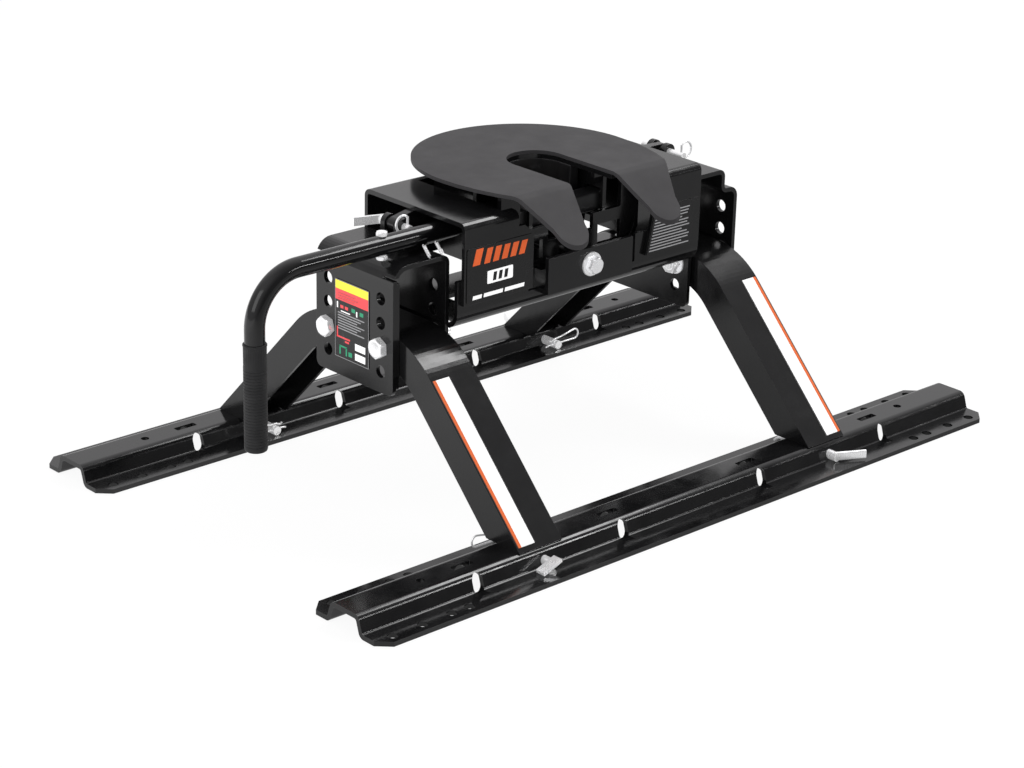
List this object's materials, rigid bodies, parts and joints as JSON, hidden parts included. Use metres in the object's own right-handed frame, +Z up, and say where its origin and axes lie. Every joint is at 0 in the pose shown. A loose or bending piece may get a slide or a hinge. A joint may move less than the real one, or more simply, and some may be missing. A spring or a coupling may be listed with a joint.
{
  "type": "fifth wheel hitch",
  "caption": "Fifth wheel trailer hitch: bed rails, arched legs, uprights and a crossmember carrying a tilting coupler head with a sliding locking bar and side pull handle.",
  "frame": {"origin": "on the floor at the centre of the hitch, midway between the rails", "axes": "+X along the rails to the passenger side, +Y to the front of the truck, +Z up"},
  "size_m": [1.096, 0.7077, 0.398],
  "materials": {
    "rail_black": "satin black powder coat",
    "frame_black": "satin black powder coat",
    "skid_satin": "matt dark grey coat",
    "wear_steel": "black oxide, greased",
    "zinc": "bright zinc plate",
    "grip_rubber": "ribbed matt",
    "bushing": "matt",
    "reflective_tape": "white reflective tape with one orange line",
    "plate_black": "plain printed sheet"
  },
  "bodies": {
    "base": {"rail_rear": "rail_black", "rail_front": "rail_black", "leg_driver": "frame_black", "leg_passenger": "frame_black", "upright_driver": "frame_black", "upright_passenger": "frame_black", "crossmember": "frame_black", "lower_beam": "frame_black", "leg_spacers": "zinc", "upright_bolts_driver": "zinc", "upright_bolts_passenger": "zinc", "upright_nuts_driver": "zinc", "upright_nuts_passenger": "zinc", "reflector_driver": "reflective_tape", "reflector_passenger": "reflective_tape", "name_plate": "plate_black", "info_plate": "plate_black", "setup_plate": "plate_black", "return_springs": "zinc", "roll_bolt": "zinc", "roll_nut": "zinc"},
    "rocker": {"rocker": "frame_black", "pitch_pins": "zinc", "pitch_bushings": "bushing"},
    "head": {"skid_plate": "skid_satin", "head_frame": "frame_black", "throat_collar": "wear_steel"},
    "jaw": {"jaw_bar": "wear_steel"},
    "handle": {"handle_tube": "frame_black", "handle_grip": "grip_rubber", "handle_bolt": "zinc"},
    "driver_pin": {"retaining_pin_driver": "zinc"},
    "driver_ring": {"retaining_ring_driver": "zinc"},
    "passenger_pin": {"retaining_pin_passenger": "zinc"},
    "passenger_ring": {"retaining_ring_passenger": "zinc"},
    "pin_driver_rear": {"foot_pin_driver_rear": "zinc"},
    "clip_driver_rear": {"foot_clip_driver_rear": "zinc"},
    "pin_driver_front": {"foot_pin_driver_front": "zinc"},
    "clip_driver_front": {"foot_clip_driver_front": "zinc"},
    "pin_passenger_rear": {"foot_pin_passenger_rear": "zinc"},
    "clip_passenger_rear": {"foot_clip_passenger_rear": "zinc"},
    "pin_passenger_front": {"foot_pin_passenger_front": "zinc"},
    "clip_passenger_front": {"foot_clip_passenger_front": "zinc"}
  },
  "joints": [
    {"name": "head_roll", "type": "hinge", "parent": "base", "child": "rocker", "pos_m": [0, 0, 0.283], "axis": [0, 1, 0], "range_deg": [-2, 2]},
    {"name": "head_pitch", "type": "hinge", "parent": "rocker", "child": "head", "pos_m": [0, 0, 0.283], "axis": [1, 0, 0], "range_deg": [-5, 5]},
    {"name": "handle_pull", "type": "slide", "parent": "base", "child": "handle", "axis": [-1, 0, 0], "range_m": [0, 0.112]},
    {"name": "jaw_slide", "type": "slide", "parent": "head", "child": "jaw", "axis": [-1, 0, 0], "range_m": [0, 0.112]},
    {"name": "driver_pin_pull", "type": "slide", "parent": "base", "child": "driver_pin", "axis": [0, 1, 0], "range_m": [0, 0.004]},
    {"name": "driver_ring_lift", "type": "slide", "parent": "driver_pin", "child": "driver_ring", "axis": [0, 0, 1], "range_m": [0, 0.02]},
    {"name": "passenger_pin_pull", "type": "slide", "parent": "base", "child": "passenger_pin", "axis": [0, 1, 0], "range_m": [0, 0.02]},
    {"name": "passenger_ring_lift", "type": "slide", "parent": "passenger_pin", "child": "passenger_ring", "axis": [0, 0, 1], "range_m": [0, 0.02]},
    {"name": "pin_driver_rear_pull", "type": "slide", "parent": "base", "child": "pin_driver_rear", "axis": [0, -1, 0], "range_m": [0, 0.008]},
    {"name": "clip_driver_rear_pull", "type": "slide", "parent": "pin_driver_rear", "child": "clip_driver_rear", "axis": [-1, 0, 0], "range_m": [0, 0.06]},
    {"name": "pin_driver_front_pull", "type": "slide", "parent": "base", "child": "pin_driver_front", "axis": [0, 1, 0], "range_m": [0, 0.008]},
    {"name": "clip_driver_front_pull", "type": "slide", "parent": "pin_driver_front", "child": "clip_driver_front", "axis": [-1, 0, 0], "range_m": [0, 0.06]},
    {"name": "pin_passenger_rear_pull", "type": "slide", "parent": "base", "child": "pin_passenger_rear", "axis": [0, -1, 0], "range_m": [0, 0.008]},
    {"name": "clip_passenger_rear_pull", "type": "slide", "parent": "pin_passenger_rear", "child": "clip_passenger_rear", "axis": [1, 0, 0], "range_m": [0, 0.06]},
    {"name": "pin_passenger_front_pull", "type": "slide", "parent": "base", "child": "pin_passenger_front", "axis": [0, 1, 0], "range_m": [0, 0.008]},
    {"name": "clip_passenger_front_pull", "type": "slide", "parent": "pin_passenger_front", "child": "clip_passenger_front", "axis": [1, 0, 0], "range_m": [0, 0.06]}
  ],
  "couplings": [
    {"joint": "jaw_slide", "follows": "handle_pull", "ratio": 1}
  ]
}
